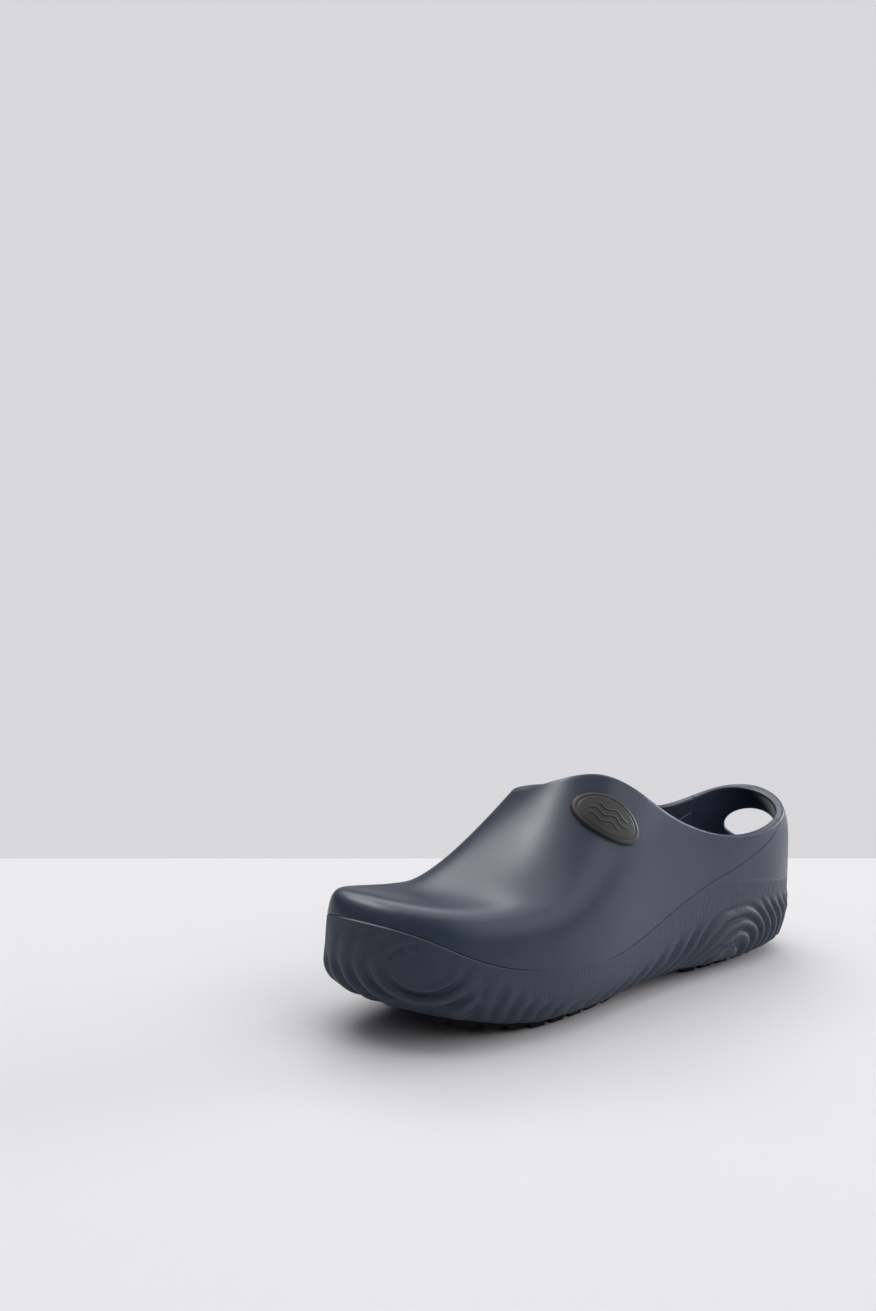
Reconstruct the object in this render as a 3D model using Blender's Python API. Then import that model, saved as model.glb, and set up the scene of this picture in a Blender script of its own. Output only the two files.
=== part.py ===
"""Rubber garden clog for the left foot: a rubber upper lapped into a thick sole, with a lift-out footbed.

Metres, +Z up. The ground is z = 0, the toe points along -Y and the outer side of the foot is +X.
The outside is one smooth skin. Its columns u run round the clog, from the toe tip (0) along the outer
side to the heel (9) and back along the inner side. Its rows v climb from the sole's lower edge (0) to
the rim of the foot opening (5). Every wall follows that skin at a depth below it.
"""

import math

import bmesh
import bpy
import numpy as np
from mathutils import Matrix, Vector
from mathutils.bvhtree import BVHTree

COLUMNS = 18
ROWS = 8
TOP_ROW = ROWS - 3

# Plan of the sidewall's widest line, one point for each column, x then y.
OUTLINE = [
    (-0.0075, -0.1365),
    (0.0225, -0.1300),
    (0.0420, -0.1075),
    (0.0505, -0.0730),
    (0.0510, -0.0355),
    (0.0425, 0.0050),
    (0.0370, 0.0440),
    (0.0365, 0.0845),
    (0.0325, 0.1250),
    (0.0020, 0.1415),
    (-0.0305, 0.1225),
    (-0.0355, 0.0845),
    (-0.0350, 0.0445),
    (-0.0390, 0.0045),
    (-0.0480, -0.0355),
    (-0.0515, -0.0740),
    (-0.0475, -0.1095),
    (-0.0340, -0.1345),
]
# Rim of the foot opening: high over the instep, low at the sides, rising again at the heel loop.
RIM = [
    (-0.0050, -0.0205, 0.1030),
    (0.0070, -0.0160, 0.1080),
    (0.0165, -0.0085, 0.1110),
    (0.0255, -0.0005, 0.1092),
    (0.0325, 0.0110, 0.1010),
    (0.0350, 0.0310, 0.0845),
    (0.0360, 0.0610, 0.0715),
    (0.0370, 0.0940, 0.0665),
    (0.0290, 0.1235, 0.0745),
    (-0.0020, 0.1335, 0.0830),
    (-0.0290, 0.1245, 0.0770),
    (-0.0345, 0.0900, 0.0670),
    (-0.0365, 0.0620, 0.0755),
    (-0.0390, 0.0345, 0.0880),
    (-0.0405, 0.0110, 0.0925),
    (-0.0375, -0.0100, 0.0942),
    (-0.0295, -0.0180, 0.0945),
    (-0.0175, -0.0215, 0.0980),
]
# Heights along the clog, y then z: the sidewall's lower edge, with its toe spring, and its middle.
EDGE_HEIGHT = [
    (-0.1365, 0.0232),
    (-0.1080, 0.0190),
    (-0.0730, 0.0124),
    (-0.0355, 0.0090),
    (0.0045, 0.0098),
    (0.0440, 0.0100),
    (0.0845, 0.0068),
    (0.1250, 0.0098),
    (0.1415, 0.0105),
]
MIDDLE_HEIGHT = [
    (-0.1365, 0.0400),
    (-0.1080, 0.0325),
    (-0.0730, 0.0260),
    (-0.0355, 0.0260),
    (0.0045, 0.0280),
    (0.0440, 0.0330),
    (0.0845, 0.0380),
    (0.1250, 0.0420),
    (0.1415, 0.0440),
]
EDGE_TUCK = 0.005
SHOULDER_TUCK = 0.001
SHOULDER_RISE = 0.25
BULGE_RISE = 0.62
# How far rows 4, 5 and 6 go from the sidewall's middle to the rim, in plan and in height.
# Each is a mean and its cos a, sin a, cos 2a and sin 2a terms, with a = 0 at the toe tip.
ROW_LEAN = [
    (0.02, 0.02, 0.01, 0.00, 0.02),
    (0.13, 0.06, 0.01, 0.00, 0.00),
    (0.45, 0.12, 0.03, 0.06, 0.03),
]
ROW_CLIMB = [
    (0.35, 0.035, -0.03, 0.09, -0.06),
    (0.46, -0.15, 0.01, 0.05, 0.00),
    (0.63, -0.34, 0.00, -0.10, 0.02),
]

# The line where the upper meets the sole, u then v. It ends at the rim on both sides of the heel.
UPPER_END = 7.6
PARTING_LINE = [
    (-7.6, 4.80),
    (-6.6, 4.10),
    (-5.8, 3.50),
    (-4.8, 2.50),
    (-3.9, 1.95),
    (-3.0, 1.95),
    (-2.0, 2.20),
    (-1.0, 2.46),
    (0.0, 2.59),
    (1.2, 2.64),
    (2.5, 2.34),
    (3.5, 2.20),
    (4.4, 2.05),
    (5.2, 2.50),
    (5.8, 3.00),
    (6.4, 3.55),
    (6.9, 3.95),
    (7.3, 4.40),
    (7.6, 4.80),
]

FRONT_STATIONS = 61
REAR_STATIONS = 14
END_CLEAR_U = 0.02
OUTER_STEPS = 12
INNER_STEPS = 8
SPREAD = 1.5
CLIMB_STEPS = 240
SEAT_SEARCH = (0.1, 3.0)
SEAT_SEARCH_STEPS = 80

WALL = 0.0045
GAP = 0.0003
RIM_DROP = 0.0006
RIM_DEPTH = 0.006
LAP = 0.0055
TONGUE_DEPTH = 0.0024

# Sole, y then z: the top of the solid sole under the footbed, and its underside above the treads.
SEAT_HEIGHT = [
    (-0.135, 0.0300),
    (-0.105, 0.0245),
    (-0.080, 0.0208),
    (-0.055, 0.0187),
    (-0.030, 0.0180),
    (0.000, 0.0192),
    (0.030, 0.0222),
    (0.045, 0.0250),
    (0.055, 0.0265),
    (0.065, 0.0270),
    (0.140, 0.0270),
]
UNDERSIDE = [
    (-0.137, 0.0195),
    (-0.108, 0.0130),
    (-0.080, 0.0065),
    (-0.060, 0.0034),
    (-0.010, 0.0034),
    (0.010, 0.0060),
    (0.038, 0.0060),
    (0.055, 0.0034),
    (0.105, 0.0034),
    (0.140, 0.0085),
]
UNDERSIDE_INSET = 0.009

HEEL_HOLE_CENTRE = (-0.0025, 0.134, 0.0582)
HEEL_HOLE_HALF_WIDTH = 0.0197
HEEL_HOLE_HALF_HEIGHT = 0.0095
HEEL_HOLE_REACH = 0.030
HEEL_HOLE_SIDES = 24
HALF_SPAN = 0.08

TREAD_THICKNESS = 0.003
TREAD_INSET = 0.002
TREAD_GAP = 0.0004
FOREFOOT_TREAD = (-0.112, -0.004)
HEEL_TREAD = (0.050, 0.132)
GROOVE_PITCH = 0.012
GROOVE_WIDTH = 0.004
GROOVE_DEPTH = 0.0018
TREAD_TOP_STEPS = 12
LUG_STEPS = 3
TREAD_CUT_HEIGHTS = (-0.01, 0.05)

HEEL_PAD_CENTRE_Y = 0.090
HEEL_PAD_HALF_WIDTH = 0.020
HEEL_PAD_HALF_LENGTH = 0.029
HEEL_PAD_THICKNESS = 0.010
HEEL_PAD_SIDES = 32

FOOTBED_THICKNESS = 0.005
FOOTBED_LIFT = 0.0005
FOOTBED_CLEARANCE = 0.002
COVER_THICKNESS = 0.0012
COVER_INSET = 0.0008
LAYER_REACH = 0.15
LAYER_STEPS = 31
LAYER_CUT_HEIGHTS = (0.0, 0.08)
HINGE_LINE = (0.0, -0.1280, 0.0292)

BADGE_PLACE = (3.22, 4.838)
BADGE_LONG_AXIS = (0.022, 0.018, -0.014)
BADGE_HALF_LENGTH = 0.0180
BADGE_HALF_WIDTH = 0.0099
BADGE_RECESS = 0.0012
BADGE_PROUD = 0.0022
BADGE_CHAMFER = 0.0008
BADGE_RINGS = [0.5, 0.9, 1.0]
BADGE_SIDES = 28
BADGE_RAY_START = 0.03
BADGE_RECESS_MOUTH = 0.01


def smooth_curve(points, at):
    """Height of a cubic curve through (x, y) points, with no corner at any of them."""
    xs, ys = np.array(points).T
    slopes = np.gradient(ys, xs)
    left = np.clip(np.searchsorted(xs, at) - 1, 0, len(xs) - 2)
    span = xs[left + 1] - xs[left]
    t = np.clip((at - xs[left]) / span, 0.0, 1.0)
    start = (1 + 2 * t) * (1 - t) ** 2 * ys[left] + t * (1 - t) ** 2 * span * slopes[left]
    end = t**2 * (3 - 2 * t) * ys[left + 1] - t**2 * (1 - t) * span * slopes[left + 1]
    return start + end


def along(points, y):
    """Straight-line reading of a (y, z) table."""
    ys, zs = np.array(points).T
    return np.interp(y, ys, zs)


def control_grid():
    """The skin's control points, by column and row."""
    outline = np.array(OUTLINE)
    rim = np.array(RIM)
    edge = along(EDGE_HEIGHT, outline[:, 1])
    middle = along(MIDDLE_HEIGHT, outline[:, 1])
    inward = outline.mean(axis=0) - outline
    inward /= np.linalg.norm(inward, axis=1, keepdims=True)
    rows = [
        (outline + EDGE_TUCK * inward, edge),
        (outline + SHOULDER_TUCK * inward, edge + SHOULDER_RISE * (middle - edge)),
        (outline, edge + BULGE_RISE * (middle - edge)),
        (outline, middle),
    ]
    a = 2 * np.pi * np.arange(COLUMNS) / COLUMNS
    terms = np.array([np.ones(COLUMNS), np.cos(a), np.sin(a), np.cos(2 * a), np.sin(2 * a)])
    for lean, climb in zip(ROW_LEAN, ROW_CLIMB):
        plan = outline + (rim[:, :2] - outline) * (lean @ terms)[:, None]
        rows.append((plan, middle + (rim[:, 2] - middle) * (climb @ terms)))
    rows.append((rim[:, :2], rim[:, 2]))
    return np.stack([np.column_stack(row) for row in rows], axis=1)


def column_weights(u):
    """Weights of a cubic spline that closes on itself round the columns."""
    first = np.floor(u).astype(int)
    t = u - first
    cubic = [(1 - t) ** 3, 3 * t**3 - 6 * t**2 + 4, -3 * t**3 + 3 * t**2 + 3 * t + 1, t**3]
    weights = np.zeros((len(u), COLUMNS))
    for k, value in enumerate(cubic):
        weights[np.arange(len(u)), (first - 1 + k) % COLUMNS] += value / 6
    return weights


def row_weights(v):
    """Weights of a cubic spline that starts on the first row and ends on the last."""
    knots = np.concatenate([np.zeros(3), np.arange(TOP_ROW + 1), np.full(3, TOP_ROW)])
    v = np.clip(v, 0.0, TOP_ROW - 1e-9)[:, None]
    weights = ((v >= knots[:-1]) & (v < knots[1:])).astype(float)
    for degree in range(1, 4):
        low, high = knots[: -degree - 1], knots[degree + 1 :]
        rise = knots[degree:-1] - low
        fall = high - knots[1:-degree]
        up = np.divide(v - low, rise, out=np.zeros_like(v - low), where=rise > 0)
        down = np.divide(high - v, fall, out=np.zeros_like(high - v), where=fall > 0)
        weights = up * weights[:, :-1] + down * weights[:, 1:]
    return weights


CONTROL = control_grid()


def on_skin(u, v):
    """Points of the skin, for matching arrays of u and v."""
    u, v = np.broadcast_arrays(np.asarray(u, float), np.asarray(v, float))
    flat = np.einsum("pi,pj,ijk->pk", column_weights(u.ravel()), row_weights(v.ravel()), CONTROL)
    return flat.reshape(u.shape + (3,))


def outward(u, v):
    """Unit normals of the skin, pointing away from the foot."""
    step = 0.001
    across = on_skin(u + step, v) - on_skin(u - step, v)
    climb = on_skin(u, np.minimum(v + step, TOP_ROW)) - on_skin(u, np.maximum(v - step, 0.0))
    normal = np.cross(across, climb)
    return normal / np.linalg.norm(normal, axis=-1, keepdims=True)


def under_skin(u, v, depth):
    """Points at a depth below the skin."""
    u, v, depth = np.broadcast_arrays(np.asarray(u, float), np.asarray(v, float), depth)
    return on_skin(u, v) - depth[..., None] * outward(u, v)


def parting_v(u):
    """Row coordinate of the upper's lower edge."""
    return smooth_curve(PARTING_LINE, u)


def front_stations():
    """Column coordinates along the upper, from its inner-side end past the toe to its outer-side end."""
    return np.linspace(-UPPER_END, UPPER_END, FRONT_STATIONS)


def rear_stations():
    """Column coordinates round the heel, clear of both ends of the upper."""
    first = UPPER_END + 2 * END_CLEAR_U
    return np.linspace(first, COLUMNS - first, REAR_STATIONS)


def sole_stations():
    """All the way round: the front, a step just past the upper's end, the heel and the step back."""
    step = UPPER_END + END_CLEAR_U
    return np.concatenate([front_stations(), [step], rear_stations(), [COLUMNS - step]])


def seat_v(u):
    """Row coordinate where the inside of the wall meets the top of the sole, for each u."""
    rows = np.linspace(*SEAT_SEARCH, SEAT_SEARCH_STEPS)
    wall = under_skin(u[:, None], rows[None, :], WALL)
    above = wall[..., 2] - along(SEAT_HEIGHT, wall[..., 1])
    return np.array([np.interp(0.0, heights, rows) for heights in above])


def sideways(u):
    """Outward unit normals of the lower edge, kept level."""
    level = outward(u, np.full_like(u, 0.5)) * [1, 1, 0]
    return level / np.linalg.norm(level, axis=-1, keepdims=True)


def underside_loop(u, inset):
    """The lower edge moved inwards, at the height of the sole's underside."""
    points = on_skin(u, np.zeros_like(u)) - inset * sideways(u)
    points[:, 2] = along(UNDERSIDE, points[:, 1])
    return points


def footbed_outline(inset):
    """Plan of the seat, an inset inside the wall."""
    u = sole_stations()
    return under_skin(u, seat_v(u), WALL + inset)[:, :2]


def material(name, colour, roughness):
    made = bpy.data.materials.new(name)
    made.use_nodes = True
    shader = made.node_tree.nodes["Principled BSDF"]
    shader.inputs["Base Color"].default_value = (*colour, 1.0)
    shader.inputs["Roughness"].default_value = roughness
    shader.inputs["Metallic"].default_value = 0.0
    return made


def add_object(name, bm, collection):
    """Turn a closed bmesh into an object whose faces point out."""
    bmesh.ops.recalc_face_normals(bm, faces=bm.faces)
    mesh = bpy.data.meshes.new(name)
    bm.to_mesh(mesh)
    bm.free()
    made = bpy.data.objects.new(name, mesh)
    collection.objects.link(made)
    return made


def finish(made, surface):
    made.data.materials.append(surface)
    made.data.shade_smooth()
    made.data.set_sharp_from_angle(angle=math.radians(40))
    return made


def loft(bm, sections, wrap, closed_profile):
    """Skin over a run of sections; returns the vertices by section."""
    grid = [[bm.verts.new(point) for point in section] for section in sections]
    runs = range(len(grid) if wrap else len(grid) - 1)
    steps = range(len(grid[0]) if closed_profile else len(grid[0]) - 1)
    for i in runs:
        here, there = grid[i], grid[(i + 1) % len(grid)]
        for j in steps:
            k = (j + 1) % len(here)
            bm.faces.new((here[j], there[j], there[k], here[k]))
    return grid


def lay_strips(bm, ring, toe):
    """Close a ring of vertices with strips straight across the foot, from the toe to the heel."""
    count = len(ring)
    for j in range(count // 2):
        corners = [ring[toe + j], ring[(toe + j + 1) % count], ring[toe - j - 1], ring[toe - j]]
        bm.faces.new(corners[:3] if j == 0 else corners)


def prism(name, outline, low, high, collection):
    """An upright solid with the given plan."""
    bm = bmesh.new()
    base = bm.faces.new([bm.verts.new((x, y, low)) for x, y in outline])
    side = bmesh.ops.extrude_face_region(bm, geom=[base])["geom"]
    top = [item for item in side if isinstance(item, bmesh.types.BMVert)]
    bmesh.ops.translate(bm, verts=top, vec=(0, 0, high - low))
    return add_object(name, bm, collection)


def cross_bar(name, profile, half_width, collection):
    """A side profile of (y, z) points drawn straight across the clog."""
    bm = bmesh.new()
    face = bm.faces.new([bm.verts.new((-half_width, y, z)) for y, z in profile])
    side = bmesh.ops.extrude_face_region(bm, geom=[face])["geom"]
    moved = [item for item in side if isinstance(item, bmesh.types.BMVert)]
    bmesh.ops.translate(bm, verts=moved, vec=(2 * half_width, 0, 0))
    return add_object(name, bm, collection)


def cut(target, cutter, operation="DIFFERENCE"):
    """Boolean with a guide that stays out of the model."""
    cutter.hide_render = True
    cutter.display_type = "WIRE"
    step = target.modifiers.new(cutter.name, "BOOLEAN")
    step.operation = operation
    step.solver = "EXACT"
    step.object = cutter


def climb(u):
    """Row coordinates up one column of the skin, and the length climbed to each."""
    rows = np.linspace(0.0, TOP_ROW, CLIMB_STEPS)
    steps = np.diff(on_skin(np.full_like(rows, u), rows), axis=0)
    return rows, np.concatenate([[0.0], np.cumsum(np.linalg.norm(steps, axis=1))])


def section(u, route):
    """Points of one column from (length climbed, depth) pairs."""
    rows, lengths = climb(u)
    length, depth = np.array(route).T
    return under_skin(np.full_like(length, u), np.interp(length, lengths, rows), depth)


def parting_length(u):
    """Length climbed to the upper's lower edge, and to the rim."""
    rows, lengths = climb(u)
    return np.interp(parting_v(u), rows, lengths), lengths[-1]


def upper_section(u):
    """Closed outline of the upper's wall at one column: outside, rim, inside, then the tongue."""
    line, top = parting_length(u)
    tip = line - LAP
    # The steps are closest near the line, where the toe box turns over.
    spread = np.linspace(0.0, 1.0, OUTER_STEPS) ** SPREAD
    outside = [(length, 0.0) for length in line + (top - line) * spread]
    rim = [(top, WALL / 2), (top - RIM_DROP, WALL)]
    inner_top = max(top - RIM_DEPTH, line)
    spread = np.linspace(1.0, 0.0, INNER_STEPS) ** SPREAD
    inside = [(length, WALL) for length in tip + (inner_top - tip) * spread]
    tongue = [(tip, TONGUE_DEPTH), (line, TONGUE_DEPTH)]
    return section(u, outside + rim + inside + tongue)


def make_upper(collection):
    """The vamp and quarters, ending in a tongue that laps inside the sole's wall."""
    bm = bmesh.new()
    grid = loft(bm, [upper_section(u) for u in front_stations()], False, True)
    bm.faces.new(grid[0])
    bm.faces.new(grid[-1])
    return add_object("upper_shell", bm, collection)


def sole_section(u, seat):
    """Outline of the sole's wall at one column, from the lower edge up and over to the seat."""
    past_upper = UPPER_END + 1.5 * END_CLEAR_U
    if past_upper < u < COLUMNS - past_upper:
        top = climb(u)[1][-1]
        step = [(top, WALL / 2), (top - RIM_DROP, WALL), (top - RIM_DEPTH, WALL)]
    else:
        line = parting_length(u if u < COLUMNS / 2 else u - COLUMNS)[0]
        top = line - GAP
        lip = TONGUE_DEPTH - GAP
        step = [(top, lip), (line - LAP - GAP, lip), (line - LAP - GAP, WALL)]
    outside = [(length, 0.0) for length in np.linspace(0.0, top, OUTER_STEPS)]
    rows, lengths = climb(u)
    floor = np.interp(seat, rows, lengths)
    inside = [(length, WALL) for length in np.linspace(step[-1][0], floor, INNER_STEPS)[1:]]
    return section(u, outside + step + inside)


def make_sole(collection, cutters):
    """The sole with its sidewall, heel counter and heel loop."""
    bm = bmesh.new()
    u = sole_stations()
    below = underside_loop(u, UNDERSIDE_INSET)
    sections = [np.vstack([low, sole_section(*pair)]) for low, pair in zip(below, zip(u, seat_v(u)))]
    grid = loft(bm, sections, True, False)
    toe = FRONT_STATIONS // 2
    lay_strips(bm, [section[0] for section in grid], toe)
    lay_strips(bm, [section[-1] for section in grid], toe)
    sole = add_object("sole_unit", bm, collection)
    cut(sole, heel_hole_cutter(cutters))
    cut(sole, heel_pad_block("heel_pad_recess", 0.0, cutters))
    return sole


def ellipse(half_x, half_y, sides):
    """Points round an ellipse."""
    turn = 2 * np.pi * np.arange(sides) / sides
    return np.column_stack([half_x * np.cos(turn), half_y * np.sin(turn)])


def heel_hole_cutter(collection):
    """An oval bar along Y through the heel wall."""
    bm = bmesh.new()
    x, y, z = HEEL_HOLE_CENTRE
    oval = ellipse(HEEL_HOLE_HALF_WIDTH, HEEL_HOLE_HALF_HEIGHT, HEEL_HOLE_SIDES)
    near, far = [
        [bm.verts.new((x + a, y + side * HEEL_HOLE_REACH / 2, z + b)) for a, b in oval] for side in (-1, 1)
    ]
    bm.faces.new(near)
    bm.faces.new(far)
    for i in range(len(near)):
        k = (i + 1) % len(near)
        bm.faces.new((near[i], near[k], far[k], far[i]))
    return add_object("heel_hole", bm, collection)


def heel_pad_block(name, gap, collection):
    """The heel pad, or with no gap the recess that holds it."""
    seat = along(SEAT_HEIGHT, HEEL_PAD_CENTRE_Y)
    plan = ellipse(HEEL_PAD_HALF_WIDTH - gap, HEEL_PAD_HALF_LENGTH - gap, HEEL_PAD_SIDES)
    plan = plan + [0, HEEL_PAD_CENTRE_Y]
    top = seat - gap if gap else seat + WALL
    return prism(name, plan, seat - HEEL_PAD_THICKNESS + gap, top, collection)


def tread_profile(first, last):
    """Side view of a tread pad: its top follows the sole, and grooves are cut up from below."""
    top = [(y, along(UNDERSIDE, y) - TREAD_GAP) for y in np.linspace(last, first, TREAD_TOP_STEPS)]
    below = []
    lugs = round((last - first + GROOVE_WIDTH) / GROOVE_PITCH)
    pitch = (last - first + GROOVE_WIDTH) / lugs
    for lug in range(lugs):
        start = first + lug * pitch
        end = start + pitch - GROOVE_WIDTH
        below += [(y, -TREAD_THICKNESS) for y in np.linspace(start, end, LUG_STEPS)]
        if lug < lugs - 1:
            below += [(y, GROOVE_DEPTH - TREAD_THICKNESS) for y in (end, start + pitch)]
    return top + [(y, along(UNDERSIDE, y) - TREAD_GAP + drop) for y, drop in below]


def make_tread(name, span, collection, cutters):
    """A tread pad under the sole, with grooves straight across it."""
    tread = cross_bar(name, tread_profile(*span), HALF_SPAN, collection)
    plan = underside_loop(sole_stations(), UNDERSIDE_INSET + TREAD_INSET)[:, :2]
    cut(tread, prism(name + "_plan", plan, *TREAD_CUT_HEIGHTS, cutters), "INTERSECT")
    return tread


def make_layer(name, lift, thickness, inset, collection, cutters):
    """A sheet that follows the seat, a lift above it, inside the wall."""
    y = np.linspace(-LAYER_REACH, LAYER_REACH, LAYER_STEPS)
    low = along(SEAT_HEIGHT, y) + lift
    profile = list(zip(y, low)) + list(zip(y[::-1], low[::-1] + thickness))
    layer = cross_bar(name, profile, HALF_SPAN, collection)
    plan = footbed_outline(inset)
    cut(layer, prism(name + "_plan", plan, *LAYER_CUT_HEIGHTS, cutters), "INTERSECT")
    return layer


def badge_axes():
    """Centre, outward, long and short directions of the badge."""
    u, v = np.array(BADGE_PLACE)
    centre = on_skin(u, v)
    out = outward(u, v)
    lengthwise = np.array(BADGE_LONG_AXIS)
    lengthwise -= out * (lengthwise @ out)
    lengthwise /= np.linalg.norm(lengthwise)
    return centre, out, lengthwise, np.cross(out, lengthwise)


def badge_solid(name, grow, inner, outer, upper_tree, collection):
    """An oval plug between two levels above the upper's surface, with a chamfered outer edge."""
    centre, out, lengthwise, crosswise = badge_axes()
    oval = ellipse(BADGE_HALF_LENGTH + grow, BADGE_HALF_WIDTH + grow, BADGE_SIDES)
    bm = bmesh.new()

    def point(a, b, level):
        start = centre + a * lengthwise + b * crosswise
        hit = upper_tree.ray_cast(Vector(start + BADGE_RAY_START * out), Vector(-out))[0]
        return bm.verts.new(hit + Vector(out * level))

    def rings(level_at, sizes):
        middle = point(0.0, 0.0, level_at[0])
        loops = [[point(a * s, b * s, level) for a, b in oval] for s, level in zip(sizes, level_at)]
        for i in range(BADGE_SIDES):
            k = (i + 1) % BADGE_SIDES
            bm.faces.new((middle, loops[0][i], loops[0][k]))
            for near, far in zip(loops, loops[1:]):
                bm.faces.new((near[i], far[i], far[k], near[k]))
        return loops[-1]

    back = rings([inner] * 3, BADGE_RINGS)
    front = rings([outer, outer, outer - BADGE_CHAMFER], BADGE_RINGS)
    for i in range(BADGE_SIDES):
        k = (i + 1) % BADGE_SIDES
        bm.faces.new((back[i], back[k], front[k], front[i]))
    return add_object(name, bm, collection)


def make_badge(upper, collection, cutters):
    """The oval badge, let into a shallow recess of the upper."""
    bm = bmesh.new()
    bm.from_mesh(upper.data)
    tree = BVHTree.FromBMesh(bm)
    bm.free()
    cut(upper, badge_solid("badge_recess", GAP, -BADGE_RECESS, BADGE_RECESS_MOUTH, tree, cutters))
    return badge_solid("badge", 0.0, GAP - BADGE_RECESS, BADGE_PROUD, tree, collection)


def main():
    for item in list(bpy.data.objects):
        bpy.data.objects.remove(item)
    parts = bpy.data.collections.new("rubber_garden_clog")
    cutters = bpy.data.collections.new("cutters")
    bpy.context.scene.collection.children.link(parts)
    bpy.context.scene.collection.children.link(cutters)

    navy = material("upper_rubber", (0.035, 0.043, 0.066), 0.38)
    sidewall = material("sole_rubber", (0.026, 0.031, 0.046), 0.62)
    tread = material("tread_rubber", (0.020, 0.023, 0.032), 0.75)
    foam = material("footbed_foam", (0.045, 0.048, 0.055), 0.85)
    cloth = material("cover_cloth", (0.030, 0.034, 0.044), 0.95)
    sponge = material("pad_sponge", (0.10, 0.10, 0.11), 0.9)
    charcoal = material("badge_rubber", (0.042, 0.045, 0.042), 0.5)

    upper = finish(make_upper(parts), navy)
    finish(make_sole(parts, cutters), sidewall)
    finish(make_badge(upper, parts, cutters), charcoal)
    finish(make_tread("forefoot_tread", FOREFOOT_TREAD, parts, cutters), tread)
    finish(make_tread("heel_tread", HEEL_TREAD, parts, cutters), tread)
    finish(heel_pad_block("heel_pad", GAP, parts), sponge)

    hinge = bpy.data.objects.new("footbed_hinge", None)
    hinge.location = HINGE_LINE
    parts.objects.link(hinge)
    footbed = make_layer("footbed", FOOTBED_LIFT, FOOTBED_THICKNESS, FOOTBED_CLEARANCE, parts, cutters)
    cover_lift = FOOTBED_LIFT + FOOTBED_THICKNESS + GAP
    cover_inset = FOOTBED_CLEARANCE + COVER_INSET
    cover = make_layer("footbed_cover", cover_lift, COVER_THICKNESS, cover_inset, parts, cutters)
    for layer, surface in ((footbed, foam), (cover, cloth)):
        finish(layer, surface)
        layer.data.transform(Matrix.Translation(-Vector(HINGE_LINE)))
        layer.parent = hinge


main()
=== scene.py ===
"""Looks of a rubber garden clog: skins with a moulded sidewall, badge, footbed, treads, studio."""

import bmesh
import bpy
import numpy as np
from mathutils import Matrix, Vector
from mathutils.bvhtree import BVHTree


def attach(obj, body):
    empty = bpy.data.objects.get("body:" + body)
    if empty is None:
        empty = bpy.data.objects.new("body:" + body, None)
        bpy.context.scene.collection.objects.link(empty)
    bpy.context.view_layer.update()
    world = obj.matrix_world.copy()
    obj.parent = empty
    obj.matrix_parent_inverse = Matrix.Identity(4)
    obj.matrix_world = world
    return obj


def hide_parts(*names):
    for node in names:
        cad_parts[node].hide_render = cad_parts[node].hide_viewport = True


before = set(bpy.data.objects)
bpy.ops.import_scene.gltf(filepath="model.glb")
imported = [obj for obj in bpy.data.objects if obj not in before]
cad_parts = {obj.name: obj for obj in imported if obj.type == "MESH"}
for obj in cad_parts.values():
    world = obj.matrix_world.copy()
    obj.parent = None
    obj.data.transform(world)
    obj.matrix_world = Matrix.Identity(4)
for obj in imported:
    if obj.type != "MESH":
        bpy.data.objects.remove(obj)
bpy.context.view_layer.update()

# The clog's skin, in metres: the same tables as the CAD source, toe at -Y and heel at +Y.
COLUMNS = 18
ROWS = 8
TOP_ROW = ROWS - 3

# Plan of the sidewall's widest line, one point for each column, x then y.
OUTLINE = [
    (-0.0075, -0.1365), (0.0225, -0.1300), (0.0420, -0.1075), (0.0505, -0.0730), (0.0510, -0.0355),
    (0.0425, 0.0050), (0.0370, 0.0440), (0.0365, 0.0845), (0.0325, 0.1250), (0.0020, 0.1415),
    (-0.0305, 0.1225), (-0.0355, 0.0845), (-0.0350, 0.0445), (-0.0390, 0.0045), (-0.0480, -0.0355),
    (-0.0515, -0.0740), (-0.0475, -0.1095), (-0.0340, -0.1345),
]
# Rim of the foot opening: high over the instep, low at the sides, rising again at the heel loop.
RIM = [
    (-0.0050, -0.0205, 0.1030), (0.0070, -0.0160, 0.1080), (0.0165, -0.0085, 0.1110),
    (0.0255, -0.0005, 0.1092), (0.0325, 0.0110, 0.1010), (0.0350, 0.0310, 0.0845),
    (0.0360, 0.0610, 0.0715), (0.0370, 0.0940, 0.0665), (0.0290, 0.1235, 0.0745),
    (-0.0020, 0.1335, 0.0830), (-0.0290, 0.1245, 0.0770), (-0.0345, 0.0900, 0.0670),
    (-0.0365, 0.0620, 0.0755), (-0.0390, 0.0345, 0.0880), (-0.0405, 0.0110, 0.0925),
    (-0.0375, -0.0100, 0.0942), (-0.0295, -0.0180, 0.0945), (-0.0175, -0.0215, 0.0980),
]
# Heights along the clog, y then z: the sidewall's lower edge, with its toe spring, and its middle.
EDGE_HEIGHT = [
    (-0.1365, 0.0232), (-0.1080, 0.0190), (-0.0730, 0.0124), (-0.0355, 0.0090), (0.0045, 0.0098),
    (0.0440, 0.0100), (0.0845, 0.0068), (0.1250, 0.0098), (0.1415, 0.0105),
]
MIDDLE_HEIGHT = [
    (-0.1365, 0.0400), (-0.1080, 0.0325), (-0.0730, 0.0260), (-0.0355, 0.0260), (0.0045, 0.0280),
    (0.0440, 0.0330), (0.0845, 0.0380), (0.1250, 0.0420), (0.1415, 0.0440),
]
EDGE_TUCK = 0.005
SHOULDER_TUCK = 0.001
SHOULDER_RISE = 0.25
BULGE_RISE = 0.62
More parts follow.
